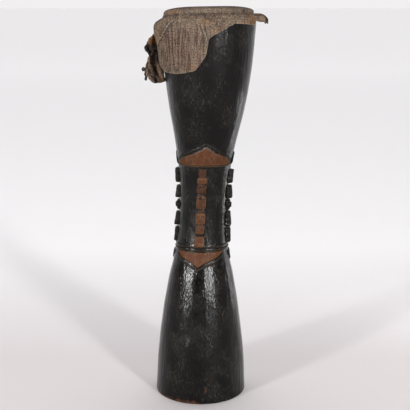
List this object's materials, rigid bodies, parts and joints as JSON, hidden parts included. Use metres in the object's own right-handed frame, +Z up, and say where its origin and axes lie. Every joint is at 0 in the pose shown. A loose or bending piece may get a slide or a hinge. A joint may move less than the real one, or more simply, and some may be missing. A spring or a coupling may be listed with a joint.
{
  "type": "hourglass hand drum",
  "caption": "Tall hourglass-shaped ceremonial hand drum: one hollow carved hardwood body, open at the foot, with a dried lizard-skin head stretched over the rim.",
  "frame": {"origin": "on the ground under the middle of the drum's outer box", "axes": "+Z up along the drum, -Y towards the carved front"},
  "size_m": [0.3148, 0.246, 1.0018],
  "materials": {
    "blackened_wood": "blackened, oiled hardwood, glossy with handling, worn to brown on the raised carving and the foot's edge",
    "dried_skin": "dried lizard skin with rows of small bead scales, taupe with redder and darker places"
  },
  "bodies": {
    "root": {"drum_body": "blackened_wood", "head_skin": "dried_skin"}
  },
  "joints": []
}
